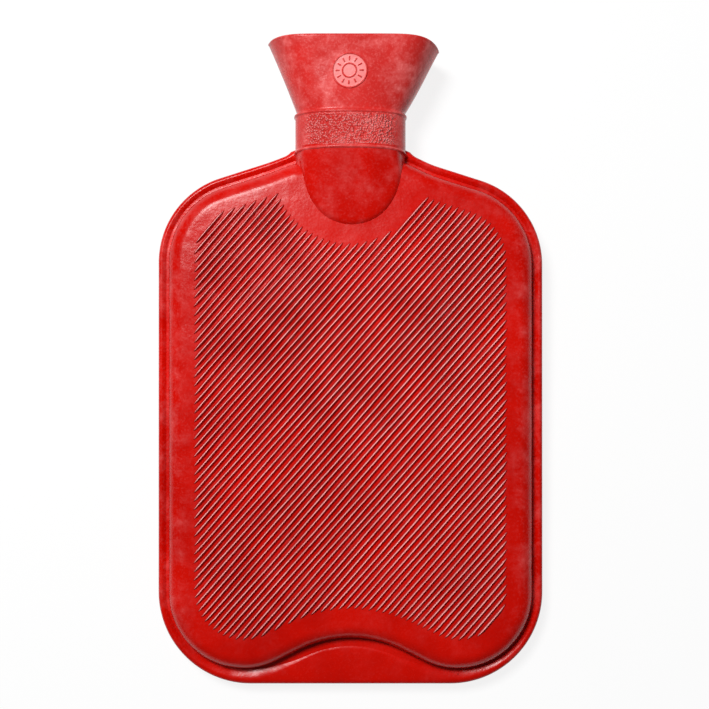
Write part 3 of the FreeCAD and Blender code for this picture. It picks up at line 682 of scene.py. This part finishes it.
wing = {
    "half": 14.0, "stemHalf": 7.5, "foot": 295.6, "neckY": 301.2, "shoulderY": 304.2, "top": 316.2, "thick": 4.5,
    "blend": 1.5, "corner": 4.2, "rimRound": 1.5, "square": 5.0, "rows": 64, "around": 96,
    "dishY": 308.8, "dishHalfX": 11.0, "dishHalfY": 5.8, "dishDepth": 1.3,
}


def stopperWing():
    # flat finger wing: squarish sections |x/a|^n + |z/b|^n = 1 up the axis, rounded at the rim, faces dished
    v = np.linspace(0, 1, wing["rows"])[:, None]
    y = wing["foot"] + (wing["top"] - wing["foot"]) * (1 - (1 - v) ** 1.6)
    grow = smooth(wing["neckY"] - wing["blend"], wing["shoulderY"] + wing["blend"], y)
    half = wing["stemHalf"] + (wing["half"] - wing["stemHalf"]) * grow

    def roundOff(radius):
        # what a corner of this radius takes off near the top
        down = np.clip((wing["top"] - y) / radius, 0, 1)
        return radius * (1 - np.sqrt(np.clip(1 - (1 - down) ** 2, 0, 1)))

    half = half - roundOff(wing["corner"])
    thick = wing["thick"] - roundOff(wing["rimRound"])
    turn = np.linspace(0, 2 * math.pi, wing["around"], endpoint=False)[None, :]
    c, s = np.cos(turn), np.sin(turn)
    x = half * np.sign(c) * np.abs(c) ** (2 / wing["square"])
    z = thick * np.sign(s) * np.abs(s) ** (2 / wing["square"])
    dish = np.clip(1 - (x / wing["dishHalfX"]) ** 2 - ((y - wing["dishY"]) / wing["dishHalfY"]) ** 2, 0, 1)
    z = z - np.sign(z) * wing["dishDepth"] * smooth(0, 0.6, dish) * (np.abs(s) > 0.2)
    faces = gridFaces(*x.shape, closed=True)[:, ::-1].tolist()
    faces += poleFaces(x.size, np.arange(x.size - x.shape[1], x.size), True)
    top = layDown(np.zeros(1), np.array([wing["top"]]), np.zeros(1))
    points = np.concatenate([layDown(x, y + 0 * x, z).reshape(-1, 3), top])
    return meshObject("stopperWing", points.tolist(), faces, "stopper")


bagPiece = bagShell()
ribPiece = ribField()
tongueFront = tonguePatch("tongueFront", 1)
tongueBack = tonguePatch("tongueBack", -1)
neckPiece = neckTube()
dialPiece = mouldedDial()
bushPiece = neckBush()
screwPiece = stopperScrew()
wingPiece = stopperWing()
print("tongue, dial, bush and stopper made")


def plug(tree, slot, value):
    # a link where the value is a signal, else the socket's own number or colour
    if isinstance(value, Signal):
        tree.links.new(value.socket, slot)
    else:
        slot.default_value = value


class Signal:
    # a wrapped socket: plain arithmetic on it adds Math nodes
    def __init__(self, tree, socket):
        self.tree, self.socket = tree, socket

    def maths(self, operation, first, second, clamp=False):
        # one Math node on two values, each a signal or a number
        node =self.tree.nodes.new("ShaderNodeMath")
        node.operation, node.use_clamp = operation, clamp
        plug(self.tree, node.inputs[0], first)
        plug(self.tree, node.inputs[1], second)
        return Signal(self.tree, node.outputs[0])

    def __add__(self, other): return self.maths("ADD", self, other)
    def __radd__(self, other): return self.maths("ADD", other, self)
    def __sub__(self, other): return self.maths("SUBTRACT", self, other)
    def __rsub__(self, other): return self.maths("SUBTRACT", other, self)
    def __mul__(self, other): return self.maths("MULTIPLY", self, other)
    def __rmul__(self, other): return self.maths("MULTIPLY", other, self)
    def __truediv__(self, other): return self.maths("DIVIDE", self, other)
    def __rtruediv__(self, other): return self.maths("DIVIDE", other, self)

    def clamped(self):
        # kept between 0 and 1
        return self.maths("ADD", self, 0.0, clamp=True)

    def between(self, low, high):
        # 0 at low and 1 at high, a straight run between
        return ((self - low) / (high - low)).clamped()


class Finish:
    # one material, or the node tree that is handed in, with its nodes added by one method
    def __init__(self, name=None, tree=None):
        if name:
            self.material = bpy.data.materials.new(name)
            self.material.use_nodes = True
            tree = self.material.node_tree
        self.tree = tree
        if name:
            self.shader = tree.nodes["Principled BSDF"]
            self.place = self.node("ShaderNodeTexCoord", output="Object")

    def node(self, kind, settings=None, output=0, **inputs):
        # settings first, then sockets by name, or by number as i0, i1 and so on
        node = self.tree.nodes.new(kind)
        for key, value in (settings or {}).items():
            setattr(node, key, value)
        for key, value in inputs.items():
            plug(self.tree, node.inputs[int(key[1:])] if key[1:].isdigit() else node.inputs[key], value)
        return Signal(self.tree, node.outputs[output])

    def noise(self, scale, detail, roughness):
        # soft random pattern, 0 to 1, scale in waves a metre
        return self.node("ShaderNodeTexNoise", Vector=self.place, Scale=scale, Detail=detail, Roughness=roughness)

    def marked(self, name):
        # the number that mark gave to each point of the mesh
        return self.node("ShaderNodeAttribute", {"attribute_name": name}, output="Fac")

    def mixed(self, share, first, second):
        # first colour at share 0, second at 1
        return self.node("ShaderNodeMix", {"data_type": "RGBA"}, output=2, i0=share,
                         i6=first if isinstance(first, Signal) else (*first, 1),
                         i7=second if isinstance(second, Signal) else (*second, 1))

    def bump(self, height, distance, normal=None):
        # relief as deep as the distance in metres, on top of an earlier one
        extra = {"Normal": normal} if normal else {}
        return self.node("ShaderNodeBump", Height=height, Distance=distance, Strength=1.0, **extra)

    def feed(self, **links):
        # into the shader's sockets, their spaces written as underlines
        for key, value in links.items():
            plug(self.tree, self.shader.inputs[key.replace("_", " ")], value)


def rgb(r, g, b):
    # written as a picture's 0..255 values
    return tuple(((v / 255 + 0.055) / 1.055) ** 2.4 if v > 10 else v / 255 / 12.92 for v in (r, g, b))


rubber = {
    # the first two tones, for the ribs, are darker than the bag's: a painted shade for the hollows between the ribs
    "hollow": rgb(148, 4, 1), "shadedRibLight": rgb(176, 5, 1), "deep": rgb(182, 8, 1), "plain": rgb(202, 12, 1),
    # pinks: one for bloom and painted sheen, one for rubbed crests and painted highlights; then a dark speck
    "bloomAndSheen": rgb(238, 124, 122), "wearAndHighlight": rgb(255, 172, 170), "speck": rgb(80, 8, 6),
    "roughness": 0.25, "spread": 0.16, "grainRough": 0.16, "gloss": 0.18,
    "swell": 0.0010, "ripple": 0.00016, "grain": 0.00005, "crumb": 0.0010,
}


def rubberFinish(name, film=0.3, haze=0.0, tones=("deep", "plain"), grained=False, crests=False, sheenedEdges=False):
    # red rubber: slow clouds of tone, a pale film over it, rare dark specks, soft grain; on the bag the film also
    # paints sheen and shade, and pale crumb tops and crests are partly painted highlights
    f = Finish(name)
    cloud = f.noise(26, 4, 0.6)
    grain = f.noise(820, 2, 0.55)
    colour = f.mixed(cloud.between(0.35, 0.65), rubber[tones[0]], rubber[tones[1]])
    patches = f.noise(70, 5, 0.62).between(0.46, 0.72) * f.noise(260, 3, 0.6).between(0.3, 0.7)
    pale = (patches * 0.75 + grain.between(0.5, 0.85) * 0.25) * film + haze
    # on the bag the film follows the marked edge rings: bloom, painted sheen, and painted shade at the foot
    if sheenedEdges:
        pale = pale * (0.2 + 0.8 * f.marked("edgeBloomAndSheen"))
    colour = f.mixed(pale, colour, rubber["bloomAndSheen"])
    dots = f.node("ShaderNodeTexVoronoi", {"feature": "F1"}, Vector=f.place, Scale=120)
    rare = f.noise(31, 0, 0.5).between(0.66, 0.7)
    colour = f.mixed((1 - dots.between(0.0, 0.09)) * rare * 0.7, colour, rubber["speck"])
    rough = rubber["roughness"] + (cloud - 0.5) * rubber["spread"] + (grain - 0.5) * rubber["grainRough"]
    normal = f.bump(f.noise(34, 2, 0.5), rubber["swell"])
    normal = f.bump(f.noise(150, 2, 0.5), rubber["ripple"], normal)
    normal = f.bump(grain, rubber["grain"], normal)
    if grained:
        inBand = f.marked("grained")
        crumbs = f.node("ShaderNodeTexVoronoi", {"feature": "SMOOTH_F1"}, Vector=f.place, Scale=1000, Smoothness=0.2)
        normal = f.bump((1 - crumbs) * inBand, rubber["crumb"], normal)
        # crumb tops paler: rubbed tops, and a painted sparkle
        colour = f.mixed(inBand * (1 - crumbs.between(0.12, 0.5)) * 0.6, colour, rubber["wearAndHighlight"])
    # pale crests: rubbed rubber, and on the ribs a painted highlight
    if crests:
        patchy = 0.75 + 0.25 * f.noise(60, 3, 0.5).between(0.35, 0.65)
        colour = f.mixed(f.marked("wearAndHighlight") * patchy, colour, rubber["wearAndHighlight"])
    f.feed(Base_Color=colour, Roughness=rough, Normal=normal, Specular_IOR_Level=rubber["gloss"])
    return f.material


brass = {"bright": rgb(214, 178, 98), "dull": rgb(150, 112, 58), "tarnish": 0.7, "roughness": 0.34, "lines": 0.00002}


def brassFinish():
    # turned brass: patches of dull tarnish, fine tool marks
    f = Finish("brass")
    tarnish = f.noise(240, 4, 0.6).between(0.4, 0.7)
    f.feed(Base_Color=f.mixed(tarnish * brass["tarnish"], brass["bright"], brass["dull"]), Metallic=1.0,
           Roughness=brass["roughness"] + tarnish * 0.2, Normal=f.bump(f.noise(2600, 1, 0.5), brass["lines"]))
    return f.material


plastic = {"face": rgb(34, 34, 36), "wearAndHighlight": rgb(66, 66, 68), "wear": 0.5, "roughness": 0.42, "grain": 0.00003}


def plasticFinish():
    # black plastic, greyer and rougher where it is worn
    f = Finish("stopperPlastic")
    wear = f.noise(320, 3, 0.6).between(0.5, 0.75)
    f.feed(Base_Color=f.mixed(wear * plastic["wear"], plastic["face"], plastic["wearAndHighlight"]),
           Roughness=plastic["roughness"] + wear * 0.15, Normal=f.bump(f.noise(2200, 2, 0.5), plastic["grain"]))
    return f.material


seal = {"light": rgb(120, 44, 36), "dark": rgb(94, 30, 26), "roughness": 0.6, "grain": 0.00003}


def washerFinish():
    # brown rubber in two close tones
    f = Finish("washerRubber")
    cloud = f.noise(400, 3, 0.6)
    f.feed(Base_Color=f.mixed(cloud.between(0.35, 0.7), seal["light"], seal["dark"]),
           Roughness=seal["roughness"] + cloud * 0.15, Normal=f.bump(f.noise(1800, 2, 0.5), seal["grain"]))
    return f.material


bagPiece.data.materials.append(rubberFinish("redRubberBag", film=0.5, sheenedEdges=True))
# the ribs take darker tones, painted shade for their hollows, and pale crests that are partly a painted highlight
ribPiece.data.materials.append(rubberFinish("redRubberRibs", film=0.06, tones=("hollow", "shadedRibLight"), crests=True))
# heavier film and haze on the neck: bloom, and in part a painted sheen that makes the top of the bottle paler
neckPiece.data.materials.append(rubberFinish("redRubberNeck", film=1.05, haze=0.1, grained=True))
redRubber = rubberFinish("redRubber", film=0.35)
for piece in (tongueFront, tongueBack):
    piece.data.materials.append(redRubber)
# the dial takes the neck's film: bloom, and in part painted sheen
dialPiece.data.materials.append(rubberFinish("redRubberDial", film=1.05, haze=0.1, crests=True))
for piece in (bagPiece, ribPiece, tongueFront, tongueBack, neckPiece, dialPiece):
    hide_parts("bottle")
bushPiece.data.materials.append(brassFinish())
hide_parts("neck_bush")
blackPlastic = plasticFinish()
for piece in (screwPiece, wingPiece):
    piece.data.materials.append(blackPlastic)
    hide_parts("stopper")
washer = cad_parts["stopper_washer"]
washerRubber = washerFinish()
for i in range(max(1, len(washer.data.materials))):
    if i < len(washer.data.materials):
        washer.data.materials[i] = washerRubber
    else:
        washer.data.materials.append(washerRubber)
print("materials given")


# floor, light and camera
stage = {
    "floorHalf": 4.0, "floorTone": 0.93, "floorWhite": 0.86,
    "sideGlow": 0.10, "overheadGlow": 0.09, "overhead": (0.5, 0.85), "backdropTop": (0.0, 0.08),
    "key": (-0.30, 0.41, 1.02), "keyAim": (0, 0, 0.02), "keyPower": 14.6, "keySize": 0.30,
}


def plainWhite(f, inGloss=1.0):
    # 1 where the camera looks, and inGloss in gloss or through glass; 0 for the light on the object
    seen = f.node("ShaderNodeLightPath", output="Is Camera Ray")
    gloss = f.node("ShaderNodeLightPath", output="Is Glossy Ray")
    through = f.node("ShaderNodeLightPath", output="Is Transmission Ray")
    return ((gloss + through) * inGloss + seen).clamped()


floorMesh = bpy.data.meshes.new("floor")
far = stage["floorHalf"]
floorMesh.from_pydata([(-far, -far, 0), (far, -far, 0), (far, far, 0), (-far, far, 0)], [], [(0, 1, 2, 3)])
floor = bpy.data.objects.new("floor", floorMesh)
bpy.context.scene.collection.objects.link(floor)
paper = Finish("paleFloor")
paper.feed(Base_Color=(*[stage["floorTone"]] * 3, 1), Roughness=0.9)
paperGlow = paper.node("ShaderNodeEmission", Color=(1, 1, 1, 1), Strength=1.0)
paperMatt = Signal(paper.tree, paper.shader.outputs[0])
seenFloor = paper.node("ShaderNodeMixShader", i0=plainWhite(paper) * stage["floorWhite"], i1=paperMatt, i2=paperGlow)
plug(paper.tree, paper.tree.nodes["Material Output"].inputs["Surface"], seenFloor)
floorMesh.materials.append(paper.material)

world = bpy.data.worlds.new("studio")
bpy.context.scene.world = world
world.use_nodes = True
sky = Finish(tree=world.node_tree)
height = sky.node("ShaderNodeSeparateXYZ", output=2, Vector=sky.node("ShaderNodeTexCoord", output="Generated"))
backdrop = plainWhite(sky, 1 - height.between(*stage["backdropTop"]))  # gloss shows a dim ceiling above it
glow = stage["sideGlow"] + height.between(*stage["overhead"]) * (stage["overheadGlow"] - stage["sideGlow"])
lit = sky.node("ShaderNodeBackground", Color=(1, 1, 1, 1), Strength=glow)
white = sky.node("ShaderNodeBackground", Color=(1, 1, 1, 1), Strength=1.0)
seenSky = sky.node("ShaderNodeMixShader", i0=backdrop, i1=lit, i2=white)
plug(sky.tree, sky.tree.nodes["World Output"].inputs["Surface"], seenSky)

keyData = bpy.data.lights.new("keyLight", "AREA")
keyData.shape, keyData.size, keyData.energy = "SQUARE", stage["keySize"], stage["keyPower"]
keyLight = bpy.data.objects.new("keyLight", keyData)
bpy.context.scene.collection.objects.link(keyLight)
keyLight.location = stage["key"]
keyLight.rotation_euler = (Vector(stage["keyAim"]) - Vector(stage["key"])).to_track_quat("-Z", "Y").to_euler()

view = {"height": 0.600, "aimX": 0.0021, "aimY": 0.0052, "back": 2.0, "angle": 35.2, "nearest": 0.01}
cameraData = bpy.data.cameras.new("camera")
camera = bpy.data.objects.new("camera", cameraData)
bpy.context.scene.collection.objects.link(camera)
tilt = math.radians(view["back"])
camera.location = (view["aimX"], view["aimY"] - view["height"] * math.tan(tilt), view["height"])
camera.rotation_euler = (tilt, 0, 0)
cameraData.angle = math.radians(view["angle"])
cameraData.clip_start = view["nearest"]
bpy.context.scene.camera = camera
bpy.context.scene.view_settings.view_transform = "Standard"
print("stage and camera set")
